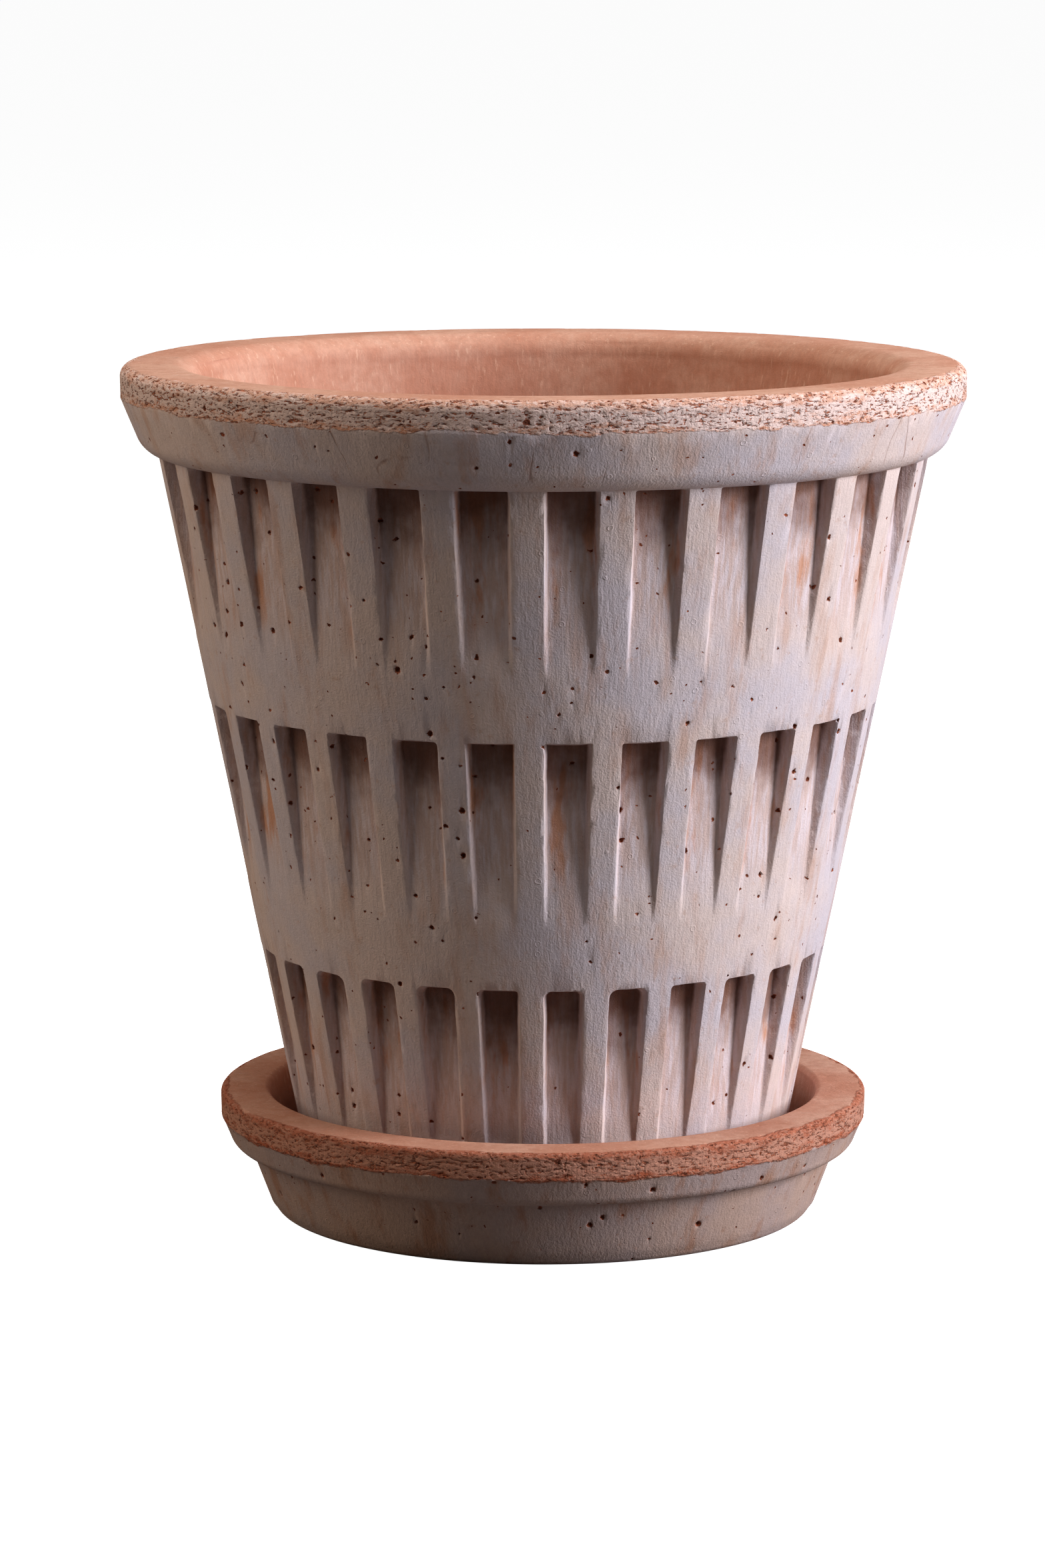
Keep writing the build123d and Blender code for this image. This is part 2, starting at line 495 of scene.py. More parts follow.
def stamp_depth(tree, given, facts, off_centre, sector, place):
    """Depth of the flute at a point, from its signed distance to a rounded rectangle."""
    chance = add(
        tree, "ShaderNodeTexWhiteNoise", [combine(tree, sector, facts["row"], given["Seed"])]
    ).outputs["Color"]
    wide, high, deep = split(tree, vec(tree, "SUBTRACT", chance, (0.5, 0.5, 0.5)))
    uneven = given["Unevenness"]
    wobble = calc(tree, "SUBTRACT", noise(tree, place, 150.0, 2.0, 0.5, given["Seed"]), 0.5)
    wobble = calc(tree, "MULTIPLY", wobble, calc(tree, "MULTIPLY", uneven, 3.0))
    half = calc(tree, "DIVIDE", given["Flute Angle"], 2.0)
    across = calc(tree, "MULTIPLY", calc(tree, "SUBTRACT", off_centre, half), facts["r"])
    across = calc(tree, "ADD", wobble, calc(tree, "MULTIPLY_ADD", wide, uneven, across))
    above = calc(tree, "ADD", wobble, calc(tree, "MULTIPLY_ADD", high, uneven, facts["above_ledge"]))
    corner = calc(tree, "MULTIPLY", facts["corner"], calc(tree, "MULTIPLY_ADD", deep, 1.2, 1.0))
    across_in = calc(tree, "ADD", across, corner)
    above_in = calc(tree, "ADD", above, corner)
    beyond = combine(
        tree, calc(tree, "MAXIMUM", across_in, 0.0), calc(tree, "MAXIMUM", above_in, 0.0), 0.0
    )
    outside = length(tree, beyond)
    inside = calc(tree, "MINIMUM", calc(tree, "MAXIMUM", across_in, above_in), 0.0)
    distance = calc(tree, "SUBTRACT", calc(tree, "ADD", outside, inside), corner)
    share = calc(tree, "DIVIDE", calc(tree, "MULTIPLY", distance, -1.0), given["Side Lean"])
    share = calc(tree, "SMOOTH_MAX", share, 0.0, edge_softness)
    share = calc(tree, "SMOOTH_MIN", share, 1.0, edge_softness)
    mould = calc(tree, "MULTIPLY_ADD", high, 0.08, 1.0)
    return calc(tree, "MULTIPLY", calc(tree, "MULTIPLY", facts["flute_depth"], share), mould)


# %% Turning the outline


def on_circle(tree, radius, angle, z):
    """A place from its radius, its angle and its height."""
    x = calc(tree, "MULTIPLY", radius, calc(tree, "COSINE", angle))
    return combine(tree, x, calc(tree, "MULTIPLY", radius, calc(tree, "SINE", angle)), z)


def turn_outline(tree, given):
    """A grid laid round the axis along the outline, with the flutes pressed in."""
    count = add(tree, "GeometryNodeAttributeDomainSize", [given["Outline"]]).outputs["Point Count"]
    columns = calc(tree, "MULTIPLY", given["Sectors"], given["Columns"])
    rows = calc(tree, "SUBTRACT", count, 1.0)
    grid = add(
        tree, "GeometryNodeMeshGrid", [columns, rows, calc(tree, "ADD", columns, 1.0), count]
    )
    position = add(tree, "GeometryNodeInputPosition").outputs[0]
    x, y, _ = split(tree, position)
    column = calc(tree, "ROUND", calc(tree, "MULTIPLY_ADD", columns, 0.5, x))
    index = calc(tree, "ROUND", calc(tree, "MULTIPLY_ADD", rows, 0.5, y))
    facts = {}
    for name in outline_facts:
        named = add(tree, "GeometryNodeInputNamedAttribute", [name], data_type="FLOAT")
        sample = add(
            tree, "GeometryNodeSampleIndex", {"Geometry": given["Outline"], "Index": index},
            data_type="FLOAT", domain="POINT",
        )
        tree.links.new(named.outputs["Attribute"], sample.inputs["Value"])
        facts[name] = sample.outputs["Value"]
    off_centre, angle, sector = column_angles(tree, given, column)
    plain = on_circle(tree, facts["r"], angle, facts["z"])
    depth = stamp_depth(tree, given, facts, off_centre, sector, plain)
    place = on_circle(tree, calc(tree, "SUBTRACT", facts["r"], depth), angle, facts["z"])
    shape = grid.outputs["Mesh"]
    for name in ("pitted", "trimmed"):
        values = {"Geometry": shape, "Name": name, "Value": facts[name]}
        shape = add(tree, "GeometryNodeStoreNamedAttribute", values, data_type="FLOAT").outputs[0]
    moved = add(tree, "GeometryNodeSetPosition", {"Geometry": shape, "Position": place})
    closed = add(
        tree, "GeometryNodeMergeByDistance", {"Geometry": moved.outputs[0], "Distance": mm(0.004)}
    )
    return closed.outputs[0]


# %% Warping and trimming


def shift_by(tree, shape, direction, amount):
    """Move a shape's points along a direction by an amount."""
    offset = add(tree, "ShaderNodeVectorMath", {0: direction, "Scale": amount}, operation="SCALE")
    values = {"Geometry": shape, "Offset": offset.outputs[0]}
    return add(tree, "GeometryNodeSetPosition", values).outputs[0]


def warp_clay(tree, given, shape):
    """The slight, slow unevenness of hand-made ware, and the hand-trimmed mouth."""
    position = add(tree, "GeometryNodeInputPosition").outputs[0]
    x, y, z = split(tree, position)
    level = combine(tree, x, y, 0.0)
    around = vec(tree, "NORMALIZE", level)
    slow = noise(tree, position, 11.0, 1.0, 0.5, given["Seed"])
    quick = noise(tree, position, 55.0, 1.0, 0.5, calc(tree, "ADD", given["Seed"], 3.0))
    bulge = calc(tree, "MULTIPLY_ADD", quick, 0.35, slow)
    bulge = calc(tree, "MULTIPLY", calc(tree, "SUBTRACT", 0.36, bulge), given["Warp"])
    trimmed = add(tree, "GeometryNodeInputNamedAttribute", ["trimmed"], data_type="FLOAT").outputs[0]
    knife = noise(tree, level, 13.0, 2.5, 0.55, calc(tree, "ADD", given["Seed"], 7.0))
    knife = calc(tree, "MULTIPLY", calc(tree, "SUBTRACT", knife, 0.5), given["Trim"])
    shape = shift_by(tree, shape, around, calc(tree, "MULTIPLY_ADD", knife, trimmed, bulge))
    sag = noise(tree, level, 9.0, 1.0, 0.5, calc(tree, "ADD", given["Seed"], 5.0))
    height = ramp(tree, z, foot_z, rim_top_z, 0.0, 1.0, "LINEAR")
    sag = calc(tree, "MULTIPLY", calc(tree, "SUBTRACT", sag, 0.3), height)
    sag = calc(tree, "MULTIPLY", sag, given["Warp"])
    return shift_by(tree, shape, (0.0, 0.0, -1.0), calc(tree, "MAXIMUM", sag, 0.0))


# %% Breaking the surface


def break_surface(tree, given, shape):
    """Sink the pores and the tears along the surface's own normal."""
    position = add(tree, "GeometryNodeInputPosition").outputs[0]
    normal = add(tree, "GeometryNodeInputNormal").outputs[0]
    values = {"Geometry": shape, "Name": "clay_place", "Value": position}
    shape = add(tree, "GeometryNodeStoreNamedAttribute", values, data_type="FLOAT_VECTOR").outputs[0]
    seed = given["Seed"]
    pitted = add(tree, "GeometryNodeInputNamedAttribute", ["pitted"], data_type="FLOAT").outputs[0]
    pores, radius = pore_mask(tree, position, given["Pore Spacing"], given["Pore Size"], seed)
    pore_depth = calc(tree, "MULTIPLY", calc(tree, "MULTIPLY", pores, radius), pitted)
    torn = torn_zone(tree, position, given["Band Low"], given["Band Radius"], seed)
    rough = noise(tree, position, 700.0, 2.0, 0.6, seed)
    tears = calc(tree, "MULTIPLY", tear_mask(tree, position, seed), 0.7)
    crumble = calc(tree, "MULTIPLY_ADD", rough, 0.35, tears)
    tear_depth = calc(tree, "MULTIPLY", calc(tree, "MULTIPLY", crumble, torn), given["Tear Depth"])
    depth = calc(tree, "MULTIPLY", calc(tree, "ADD", pore_depth, tear_depth), -1.0)
    return shift_by(tree, shape, normal, depth)


# %% Build the tree once


def build_clay_tree():
    """Turn, warp and break the clay, then give it its material."""
    tree = start_clay_tree()
    entry = tree.nodes.new("NodeGroupInput")
    given = {socket.name: socket for socket in entry.outputs if socket.name}
    shape = turn_outline(tree, given)
    shape = warp_clay(tree, given, shape)
    shape = break_surface(tree, given, shape)
    real = add(tree, "GeometryNodeRealizeInstances", [shape]).outputs[0]
    finish = add(tree, "GeometryNodeSetMaterial", {"Geometry": real, "Material": given["Material"]})
    leave = tree.nodes.new("NodeGroupOutput")
    tree.links.new(finish.outputs[0], leave.inputs[0])
    return tree


clay_tree = build_clay_tree()
print("clay tree nodes", len(clay_tree.nodes))

# %% [markdown]
# ## From outline to finished piece
#
# The outline goes in as a mesh of loose points that carry their facts as attributes. The
# turned result has far more faces than the flat stretches need, so a Decimate modifier
# spends them where the surface bends: round the flutes' edges, the pores and the tears.

# %% Make a piece


def outline_mesh(name, points):
    """Loose points in the plane of the axis, with their facts as attributes."""
    mesh = bpy.data.meshes.new(name)
    mesh.from_pydata([(point["r"], 0, point["z"]) for point in points], [], [])
    for fact_name in outline_facts:
        attribute = mesh.attributes.new(fact_name, "FLOAT", "POINT")
        attribute.data.foreach_set("value", [point[fact_name] for point in points])
    return mesh


def set_input(modifier, name, value):
    """Set a modifier's input by the identifier of its named socket."""
    for item in modifier.node_group.interface.items_tree:
        if item.item_type == "SOCKET" and item.in_out == "INPUT" and item.name == name:
            modifier[item.identifier] = value


def triangles(mesh):
    """How many triangles a mesh makes."""
    return sum(len(face.vertices) - 2 for face in mesh.polygons)


def make_piece(name, points, material, face_limit, sizes):
    """Turn an outline into a closed mesh piece under a limit of triangles."""
    piece = bpy.data.objects.new(name, outline_mesh(name, points))
    bpy.context.scene.collection.objects.link(piece)
    turned = piece.modifiers.new("turned", "NODES")
    turned.node_group = clay_tree
    set_input(turned, "Material", material)
    for size_name, value in sizes.items():
        set_input(turned, size_name, value)
    depsgraph = bpy.context.evaluated_depsgraph_get()
    dense = triangles(piece.evaluated_get(depsgraph).data)
    thin = piece.modifiers.new("thin", "DECIMATE")
    thin.ratio = min(1.0, face_limit / dense)
    depsgraph.update()
    mesh = bpy.data.meshes.new_from_object(piece.evaluated_get(depsgraph))
    piece.modifiers.clear()
    piece.data = mesh
    mesh.shade_smooth()
    mesh.set_sharp_from_angle(angle=math.radians(50))
    print(name, "triangles", dense, "thinned to", triangles(mesh))
    return piece

# %% [markdown]
# ## Finishes
#
# The clay is one body with three faces. Inside and on top it is bare: smooth, peach to
# orange. Outside, lime from the clay has come out as a pale grey-lilac bloom, thin enough
# for the clay to show through as warm stains. On the edges of the rim and the saucer the
# clay has torn, and shows its brick-red inside under a pale crust. Each effect is a node
# group, so that the pot and the saucer share it with their own values.

# %% Shader helpers


def srgb(red, green, blue):
    """A colour as it looks on a screen, 0 to 255, as linear values for a node."""
    channels = []
    for value in (red, green, blue):
        share = value / 255
        channels.append(share / 12.92 if share < 0.04045 else ((share + 0.055) / 1.055) ** 2.4)
    return (*channels, 1.0)


def tint(tree, factor, first, second, way="MIX"):
    """Mix two colours by a factor."""
    values = {0: factor, 6: first, 7: second}
    return add(tree, "ShaderNodeMix", values, data_type="RGBA", blend_type=way).outputs[2]


def shader_group(name, inputs, outputs, build):
    """A shader node group; build gets the tree and its inputs and gives the outputs."""
    tree = bpy.data.node_groups.new(name, "ShaderNodeTree")
    for socket_name, kind, default in inputs:
        group_socket(tree, socket_name, kind, default=default)
    for socket_name, kind in outputs:
        group_socket(tree, socket_name, kind, output=True)
    entry = tree.nodes.new("NodeGroupInput")
    given = {socket.name: socket for socket in entry.outputs if socket.name}
    results = build(tree, given)
    leave = tree.nodes.new("NodeGroupOutput")
    for socket, result in zip(leave.inputs, results):
        feed(tree, socket, result)
    return tree


def use(tree, group, **values):
    """Place a group in a material and give its outputs by name."""
    node = add(tree, "ShaderNodeGroup", node_tree=group)
    for name, value in values.items():
        feed(tree, node.inputs[name.replace("_", " ")], value)
    return node.outputs


def millimetres(tree, vector, stretch=1.0):
    """A place in millimetres, squeezed along the axis by stretch."""
    return vec(tree, "MULTIPLY", vector, (1000.0, 1000.0, 1000.0 * stretch))


def centred(tree, value, amount=1.0):
    """A noise value moved to lie either side of nought, times an amount."""
    return calc(tree, "MULTIPLY", calc(tree, "SUBTRACT", value, 0.5), amount)


# %% Where a point lies in the wall


def build_wall_place(tree, given):
    """Depth below the plain tapered wall, where the inside lies deepest, and height, both in mm."""
    x, y, z = split(tree, given["Vector"])
    radius = length(tree, combine(tree, x, y, 0.0))
    cone = calc(tree, "MULTIPLY_ADD", z, given["Slope"], given["Radius at Nought"])
    depth = calc(tree, "MULTIPLY", calc(tree, "SUBTRACT", cone, radius), 1000.0)
    return depth, calc(tree, "MULTIPLY", z, 1000.0)


wall_place = shader_group(
    "place in the wall",
    [("Vector", "Vector", None), ("Slope", "Float", 0.2), ("Radius at Nought", "Float", 0.06)],
    [("Depth", "Float"), ("Height", "Float")],
    build_wall_place,
)

# %% Pores


def build_pores(tree, given):
    """The same pores that the geometry has: the whole pore, and its core, which is dented deeper and also
    painted with shade.
    """
    mask, _ = pore_mask(tree, given["Vector"], given["Spacing"], given["Size"], given["Seed"])
    return ramp(tree, mask, 0.0, 0.25), ramp(tree, mask, 0.45, 0.95)


pore_group = shader_group(
    "pores",
    [
        ("Vector", "Vector", None), ("Spacing", "Float", mm(6)), ("Size", "Float", mm(1)),
        ("Seed", "Float", 0.0),
    ],
    [("Mask", "Float"), ("Core and Shade", "Float")],
    build_pores,
)

# %% Torn clay


def build_torn(tree, given):
    """Torn clay: where it is, its colour in layers, and its height in millimetres."""
    vector = given["Vector"]
    zone = torn_zone(tree, vector, given["Low"], given["Radius"], given["Seed"])
    tears = tear_mask(tree, vector, given["Seed"])
    place = millimetres(tree, vector)
    grit = noise(tree, vec(tree, "MULTIPLY", place, (1.0, 1.0, 1.6)), 0.9, 3.0, 0.65, given["Seed"])
    layers = noise(tree, millimetres(tree, vector, 3.0), 0.16, 3.0, 0.6, given["Seed"])
    _, _, z = split(tree, vector)
    level = calc(tree, "DIVIDE", calc(tree, "SUBTRACT", z, given["Low"]), given["Height"])
    level = calc(tree, "ADD", level, centred(tree, layers, 1.5))
    lower = ramp(tree, level, 0.0, 0.25)
    upper = ramp(tree, level, 0.60, 0.90, 1.0, 0.25)
    lime = calc(tree, "MULTIPLY", lower, upper)
    lime = calc(tree, "MAXIMUM", lime, ramp(tree, grit, 0.46, 0.60, 0.0, 0.8))
    colour = tint(tree, lime, given["Clay"], given["Crust"])
    broken = tint(tree, ramp(tree, grit, 0.38, 0.55), srgb(122, 58, 38), srgb(192, 116, 84))
    colour = tint(tree, tears, colour, broken)
    height = calc(tree, "MULTIPLY_ADD", tears, -0.26, calc(tree, "MULTIPLY", grit, 0.34))
    return zone, colour, height


torn_group = shader_group(
    "torn clay",
    [
        ("Vector", "Vector", None), ("Seed", "Float", 0.0), ("Low", "Float", mm(100)),
        ("Height", "Float", mm(8)), ("Radius", "Float", mm(100)),
        ("Clay", "Color", None), ("Crust", "Color", None),
    ],
    [("Zone", "Float"), ("Color", "Color"), ("Height", "Float")],
    build_torn,
)

# %% Grain and brush marks


def build_grain(tree, given):
    """Fine sand, upright marks of the brush, and here and there a blister in the bloom."""
    place = millimetres(tree, given["Vector"])
    sand = centred(tree, noise(tree, place, 2.3, 3.0, 0.6, 1.0))
    peel = centred(tree, noise(tree, place, 0.55, 2.0, 0.5, 2.0))
    brush = centred(tree, noise(tree, millimetres(tree, given["Vector"], 0.06), 1.3, 2.0, 0.6, 3.0))
    brush = calc(tree, "MULTIPLY", brush, given["Brush"])
    cells = add(tree, "ShaderNodeTexVoronoi", {"Vector": place, "Scale": 0.19})
    chance, _, _ = split(tree, cells.outputs["Color"])
    ring = calc(tree, "SUBTRACT", calc(tree, "MULTIPLY", cells.outputs["Distance"], 5.3), 0.65)
    ring = ramp(tree, calc(tree, "ABSOLUTE", ring), 0.0, 0.22, 1.0, 0.0)
    blister = calc(tree, "MULTIPLY", ring, calc(tree, "GREATER_THAN", chance, 0.72))
    height = calc(tree, "MULTIPLY_ADD", sand, 0.15, calc(tree, "MULTIPLY", peel, 0.03))
    height = calc(tree, "MULTIPLY_ADD", brush, 0.14, height)
    height = calc(tree, "MULTIPLY_ADD", blister, 0.07, height)
    tone = calc(tree, "MULTIPLY_ADD", sand, 0.24, 1.0)
    tone = calc(tree, "MULTIPLY_ADD", brush, 0.26, tone)
    return tone, calc(tree, "MULTIPLY", height, given["Amount"])


grain_group = shader_group(
    "grain",
    [("Vector", "Vector", None), ("Amount", "Float", 1.0), ("Brush", "Float", 1.0)],
    [("Tone", "Float"), ("Height", "Float")],
    build_grain,
)

# %% Hair cracks


def build_cracks(tree, given):
    """Thin slanting cracks, as clay gets when it is rolled over an edge; gives their mask."""
    place = millimetres(tree, given["Vector"], 0.45)
    field = centred(tree, noise(tree, place, 0.045, 2.5, 0.5, 21.0))
    line = ramp(tree, calc(tree, "ABSOLUTE", field), 0.0, 0.006, 1.0, 0.0)
    broken = ramp(tree, noise(tree, place, 0.16, 2.0, 0.5, 22.0), 0.45, 0.60)
    return (calc(tree, "MULTIPLY", line, broken),)


crack_group = shader_group("hair cracks", [("Vector", "Vector", None)], [("Mask", "Float")], build_cracks)

# %% Bare clay


def build_bare(tree, given):
    """Bare clay: peach to orange, paler in clouds and in thin upright streaks."""
    place = millimetres(tree, given["Vector"])
    clouds = ramp(tree, noise(tree, place, 0.035, 4.0, 0.55, 4.0), 0.35, 0.68)
    fine = ramp(tree, noise(tree, place, 0.35, 3.0, 0.6, 5.0), 0.35, 0.7)
    upright = noise(tree, millimetres(tree, given["Vector"], 0.12), 1.1, 3.0, 0.6, 6.0)
    streaks = calc(tree, "MULTIPLY", ramp(tree, upright, 0.58, 0.70), given["Streaks"])
    colour = tint(tree, clouds, srgb(198, 142, 118), srgb(212, 166, 144))
    colour = tint(tree, calc(tree, "MULTIPLY", fine, 0.35), colour, srgb(182, 118, 90))
    return (tint(tree, streaks, colour, srgb(230, 194, 170)),)


bare_group = shader_group(
    "bare clay",
    [("Vector", "Vector", None), ("Streaks", "Float", 0.4)],
    [("Color", "Color")],
    build_bare,
)

# %% Bloom


def build_bloom(tree, given):
    """Lime bloom, warm where the clay shows through it and grey where it lies thick."""
    place = millimetres(tree, given["Vector"])
    clouds = ramp(tree, noise(tree, place, 0.03, 5.0, 0.6, 8.0), 0.38, 0.62)
    colour = tint(tree, clouds, srgb(216, 194, 186), srgb(206, 192, 195))
    upright = millimetres(tree, given["Vector"], 0.14)
    runs = ramp(tree, noise(tree, upright, 0.15, 4.0, 0.62, 9.0), 0.50, 0.70)
    colour = tint(tree, calc(tree, "MULTIPLY", runs, given["Warmth"]), colour, srgb(192, 146, 120))
    spots = ramp(tree, noise(tree, place, 0.42, 3.0, 0.6, 10.0), 0.60, 0.72)
    spots = calc(tree, "MULTIPLY", spots, 0.4)
    return (tint(tree, spots, colour, srgb(190, 152, 132)),)


bloom_group = shader_group(
    "bloom",
    [("Vector", "Vector", None), ("Warmth", "Float", 0.4)],
    [("Color", "Color")],
    build_bloom,
)


def build_pressed(tree, given):
    """Inside a flute: thin lime with rusty clouds, and painted shade, dark brown, deep under the ledge.
    """
    place = millimetres(tree, given["Vector"])
    fibres = noise(tree, millimetres(tree, given["Vector"], 0.08), 0.9, 3.0, 0.6, 12.0)
    colour = tint(tree, ramp(tree, fibres, 0.4, 0.62), srgb(204, 178, 170), srgb(216, 198, 198))
    upright = millimetres(tree, given["Vector"], 0.22)
    rust = ramp(tree, noise(tree, upright, 0.16, 4.0, 0.62, 13.0), 0.52, 0.65)
    colour = tint(tree, calc(tree, "MULTIPLY", rust, given["Rust"]), colour, srgb(200, 138, 100))
    patches = centred(tree, noise(tree, place, 0.12, 3.0, 0.6, 14.0), 2.0)
    # Painted shade: the deepest part of each flute, right under its ledge, is painted dark brown for the
    # shade that falls there.
    deep = ramp(tree, calc(tree, "ADD", given["Depth"], patches), 2.6, 4.3, 0.0, 0.88)
    return (tint(tree, deep, colour, srgb(112, 70, 50)),)


pressed_group = shader_group(
    "pressed clay",
    [("Vector", "Vector", None), ("Depth", "Float", 0.0), ("Rust", "Float", 0.6)],
    [("Color", "Color")],
    build_pressed,
)

# %% The clay material


def outside_colour(tree, vector, place, zones):
    """Bloom on the wall and the rim, and pressed clay in the flutes, with painted shade under their
    ledges.
    """
    bloom = use(tree, bloom_group, Vector=vector, Warmth=zones["warmth"])["Color"]
    bloom = tint(tree, 1.0, bloom, zones["thin_bloom"], "MULTIPLY")
    pressed = use(tree, pressed_group, Vector=vector, Depth=place["Depth"], Rust=0.75)["Color"]
    pocket = ramp(tree, place["Depth"], 0.5, 2.0, 0.0, zones["pocket"])
    return tint(tree, pocket, bloom, pressed)


def clay_material(name, cone, zones, pores, seed):
    """Bloom outside, bare clay inside and on top, and a torn band on the edge."""
    material = bpy.data.materials.new(name)
    material.use_nodes = True
    tree = material.node_tree
    shader = tree.nodes["Principled BSDF"]
    shader.inputs["Specular IOR Level"].default_value = 0.3
    vector = add(tree, "ShaderNodeAttribute", attribute_name="clay_place").outputs["Vector"]
    place = use(tree, wall_place, Vector=vector, Slope=cone[0], Radius_at_Nought=cone[1])
    wander = centred(tree, noise(tree, vector, 160.0, 2.0, 0.5, seed), 1.6)

    depth = calc(tree, "ADD", place["Depth"], wander)
    inside = ramp(tree, depth, zones["inside"] - 0.4, zones["inside"] + 0.4)
    inside = calc(tree, "MULTIPLY", inside, calc(tree, "GREATER_THAN", place["Height"], zones["well"]))
    top = calc(tree, "MULTIPLY_ADD", wander, 0.5, place["Height"])
    bare_mask = calc(tree, "MAXIMUM", inside, ramp(tree, top, zones["top"] - 0.5, zones["top"]))
    covered = calc(tree, "SUBTRACT", 1.0, bare_mask)
    bare = use(tree, bare_group, Vector=vector, Streaks=0.45)["Color"]
    colour = tint(tree, bare_mask, outside_colour(tree, vector, place, zones), bare)

    cracks = use(tree, crack_group, Vector=vector)["Mask"]
    face = ramp(tree, place["Height"], zones["face_low"], zones["face_low"] + 2, 0.0, 0.6)
    cracks = calc(tree, "MULTIPLY", cracks, calc(tree, "MULTIPLY", face, covered))
    colour = tint(tree, cracks, colour, srgb(150, 110, 94))

    torn = use(
        tree, torn_group, Vector=vector, Seed=seed, Low=zones["band_low"], Height=zones["band_height"],
        Radius=zones["band_radius"], Clay=zones["torn_clay"], Crust=zones["torn_crust"],
    )
    colour = tint(tree, torn["Zone"], colour, torn["Color"])

    holes = use(tree, pore_group, Vector=vector, Spacing=pores[0], Size=pores[1], Seed=seed)
    specks = use(tree, pore_group, Vector=vector, Spacing=mm(3.4), Size=mm(0.5), Seed=seed + 2)
    pits = calc(tree, "MULTIPLY", calc(tree, "MAXIMUM", holes["Mask"], specks["Mask"]), covered)
    pore_cores_and_shade = calc(tree, "MULTIPLY", calc(tree, "MAXIMUM", holes["Core and Shade"], specks["Core and Shade"]), covered)
    colour = tint(tree, pits, colour, srgb(166, 92, 62))
    # Painted shade: the cores of the pores are painted dark brown for the shade inside the pits; the
    # relief below dents them as well.
    colour = tint(tree, calc(tree, "MULTIPLY", pore_cores_and_shade, 0.75), colour, srgb(98, 50, 34))

    grain = use(tree, grain_group, Vector=vector, Amount=1.0, Brush=1.0)
    tone = combine(tree, grain["Tone"], grain["Tone"], grain["Tone"])
    feed(tree, shader.inputs["Base Color"], tint(tree, 1.0, colour, tone, "MULTIPLY"))
    relief = calc(tree, "MULTIPLY", grain["Height"], ramp(tree, bare_mask, 0.0, 1.0, 1.0, 0.5))
    relief = calc(tree, "MULTIPLY_ADD", pits, -0.22, relief)
    relief = calc(tree, "MULTIPLY_ADD", pore_cores_and_shade, -0.25, relief)
    relief = calc(tree, "MULTIPLY_ADD", cracks, -0.08, relief)
    relief = calc(tree, "MULTIPLY_ADD", torn["Height"], torn["Zone"], relief)
    bump = add(tree, "ShaderNodeBump", {"Strength": 1.0, "Distance": mm(1), "Height": relief})
    feed(tree, shader.inputs["Normal"], bump.outputs[0])
    feed(tree, shader.inputs["Roughness"], ramp(tree, bare_mask, 0.0, 1.0, 0.92, 0.78))
    return material


# %% The two finishes
pot_zones = {
    "inside": 7.6, "well": 9.0, "top": rim_top_z * 1000 - 0.2, "face_low": rim_under_z * 1000 + 2,
    "band_low": band_low_z, "band_height": mm(8), "band_radius": band_inner_radius,
    "pocket": 1.0, "warmth": 0.5, "thin_bloom": (1.0, 1.0, 1.0, 1.0),
    "torn_clay": srgb(212, 154, 126), "torn_crust": srgb(230, 202, 192),
}
saucer_zones = {
    "inside": 4.5, "well": 7.0, "top": saucer_top_z * 1000 - 0.3, "face_low": 1000.0,
    "band_low": saucer_band_low_z, "band_height": mm(7), "band_radius": saucer_band_inner_radius,
    "pocket": 0.0, "warmth": 0.7, "thin_bloom": (0.74, 0.64, 0.57, 1.0),
    "torn_clay": srgb(172, 94, 64), "torn_crust": srgb(192, 138, 116),
}
pot_pores = (mm(3.8), mm(0.88))
saucer_pores = (mm(3.8), mm(1.05))
pot_cone = (body_slope, body_radius(0))
saucer_cone = (saucer_wall_lean, saucer_wall_radius(0))
pot_seed = 2.0
saucer_seed = 9.0
pot_clay = clay_material("pot_clay_finish", pot_cone, pot_zones, pot_pores, pot_seed)
saucer_clay = clay_material("saucer_clay_finish", saucer_cone, saucer_zones, saucer_pores, saucer_seed)
print("finishes", pot_clay.name, len(pot_clay.node_tree.nodes), saucer_clay.name)

# %% [markdown]
# ## The two pieces
#
# Both pieces come out of the same tree. The pot's first flute stands half a pitch from its
# first rib. The saucer has no flutes, and its outline says so, because its facts never
# give a flute any depth.

# %% Pot and saucer
pot = make_piece(
    "fluted_pot", pot_outline(), pot_clay, 196000,
    {
        "Flute Angle": flute_pitch - rib_angle,
        "First Flute": -math.pi / 2 + rib_start + flute_pitch / 2,
        "Pore Spacing": pot_pores[0], "Pore Size": pot_pores[1],
        "Band Low": band_low_z, "Band Radius": band_inner_radius, "Seed": pot_seed,
    },
)
saucer = make_piece(
    "drip_saucer", saucer_outline(), saucer_clay, 150000,
    {
        "Pore Spacing": saucer_pores[0], "Pore Size": saucer_pores[1],
        "Band Low": saucer_band_low_z, "Band Radius": saucer_band_inner_radius, "Seed": saucer_seed,
    },
)

# %% Fix the pieces to the frame
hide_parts("pot")
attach(pot, "pot")
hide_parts("saucer")
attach(saucer, "saucer")

# %% [markdown]
# ## Floor and light
#
# A plain pale floor and world, white to the camera but dull to the light that falls on them,
# so that the pot's dark side stays dark. A large cool light from the right rakes the flutes,
# a weaker warm one stands on the left, one high in front opens the middle, and one above and
# behind lights the mouth. The view's gamma deepens the shadows a little.

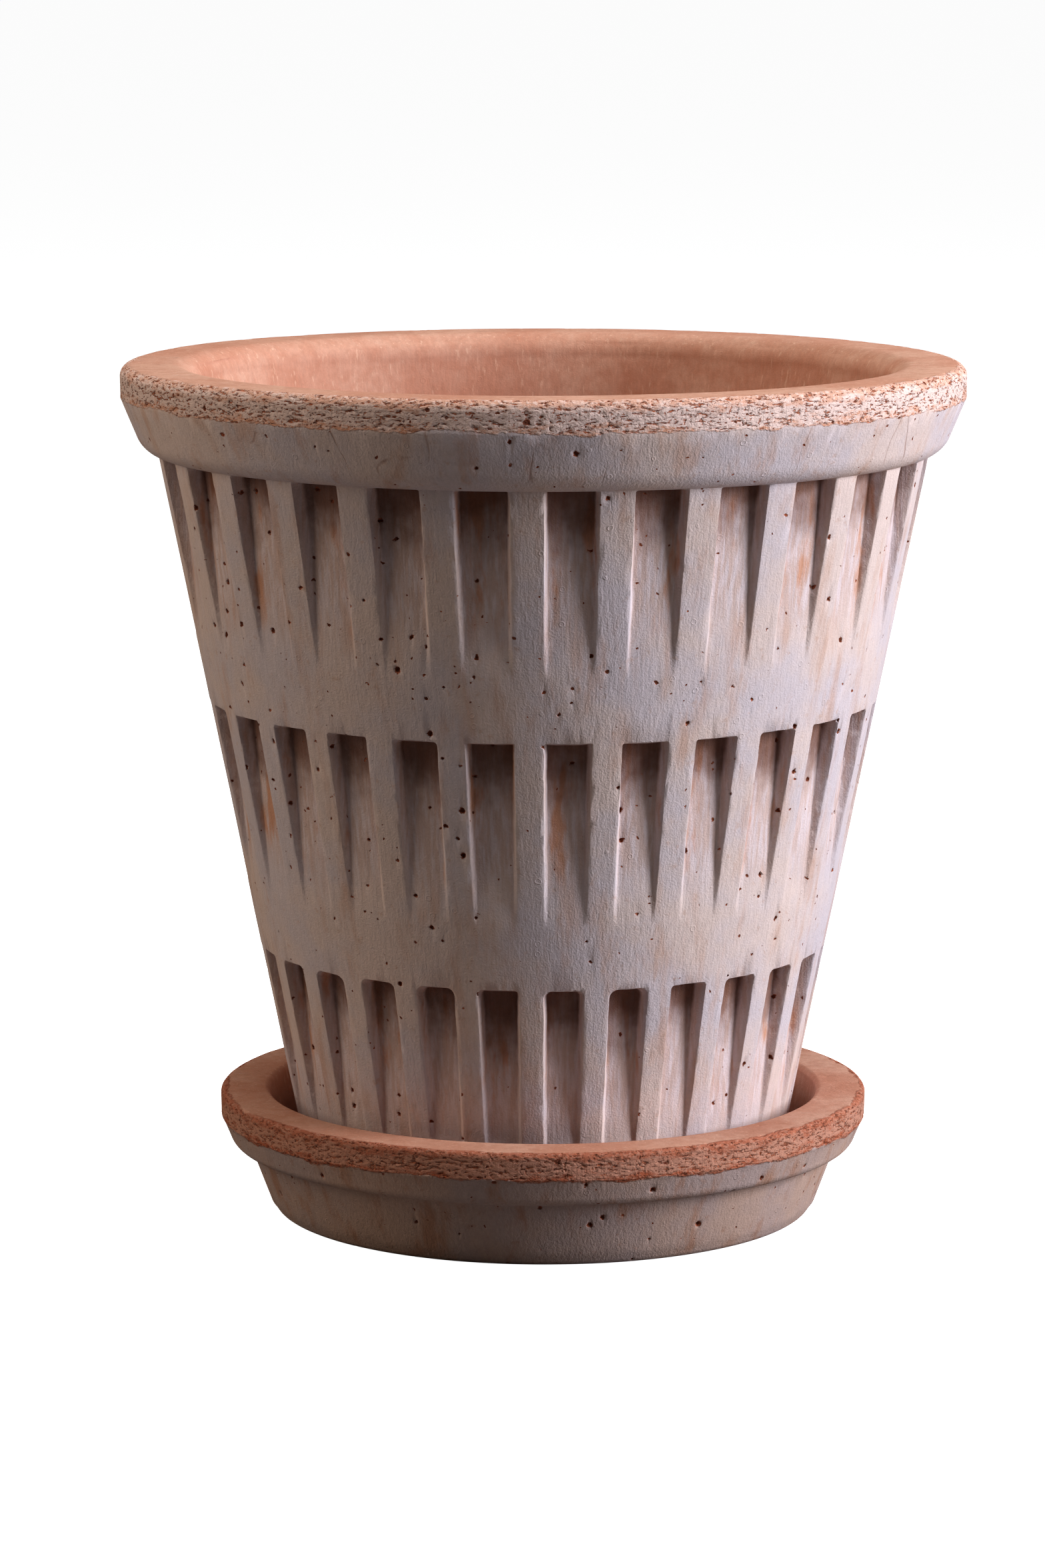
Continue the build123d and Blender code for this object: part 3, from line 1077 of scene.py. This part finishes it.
# %% Floor
floor_reach = 30
floor_glow = 0.97
corners = [(-1, -1), (1, -1), (1, 1), (-1, 1)]
floor_mesh = bpy.data.meshes.new("floor")
floor_mesh.from_pydata([(x * floor_reach, y * floor_reach, 0) for x, y in corners], [], [(0, 1, 2, 3)])
floor = bpy.data.objects.new("floor", floor_mesh)
bpy.context.scene.collection.objects.link(floor)
floor_paint = bpy.data.materials.new("floor_paint")
floor_paint.use_nodes = True
floor_tree = floor_paint.node_tree
floor_shader = floor_tree.nodes["Principled BSDF"]
floor_shader.inputs["Roughness"].default_value = 0.95
seen = add(floor_tree, "ShaderNodeLightPath").outputs["Is Camera Ray"]
shade = tint(floor_tree, seen, (0.17, 0.15, 0.14, 1), (0.9, 0.9, 0.9, 1))
feed(floor_tree, floor_shader.inputs["Base Color"], shade)
floor_shader.inputs["Emission Color"].default_value = (1, 1, 1, 1)
glow = calc(floor_tree, "MULTIPLY", seen, floor_glow)
feed(floor_tree, floor_shader.inputs["Emission Strength"], glow)
floor.data.materials.append(floor_paint)

# %% Lights
light_centre = Vector((0, 0, 0.12))
light_distance = 1.5


def soft_light(name, azimuth, height, width, tall, power, colour):
    """A rectangular light on a sphere round the pot; azimuth runs from the front to the right."""
    data = bpy.data.lights.new(name, "AREA")
    data.shape = "RECTANGLE"
    data.size = width
    data.size_y = tall
    data.energy = power
    data.color = colour
    lamp = bpy.data.objects.new(name, data)
    turn, rise = math.radians(azimuth), math.radians(height)
    level = math.cos(rise)
    away = Vector((math.sin(turn) * level, -math.cos(turn) * level, math.sin(rise)))
    lamp.location = light_centre + away * light_distance
    lamp.rotation_euler = (-away).to_track_quat("-Z", "Y").to_euler()
    bpy.context.scene.collection.objects.link(lamp)
    return lamp


soft_light("key_light", 77, 18, 0.6, 0.8, 34, (0.87, 0.92, 1.0))
soft_light("left_light", -86, 24, 0.7, 1.2, 10, (1.0, 0.88, 0.73))
soft_light("front_light", 20, 66, 0.7, 0.7, 7, (1.0, 0.98, 0.95))
soft_light("top_light", 180, 75, 0.8, 0.8, 10, (0.95, 1.0, 1.0))

# %% World
view_gamma = 0.9
world = bpy.data.worlds.new("studio")
world.use_nodes = True
world_tree = world.node_tree
background = world_tree.nodes["Background"]
background.inputs["Color"].default_value = (1, 1, 1, 1)
seen = add(world_tree, "ShaderNodeLightPath").outputs["Is Camera Ray"]
feed(world_tree, background.inputs["Strength"], seen)
bpy.context.scene.world = world
bpy.context.scene.view_settings.view_transform = "Standard"
bpy.context.scene.view_settings.gamma = view_gamma
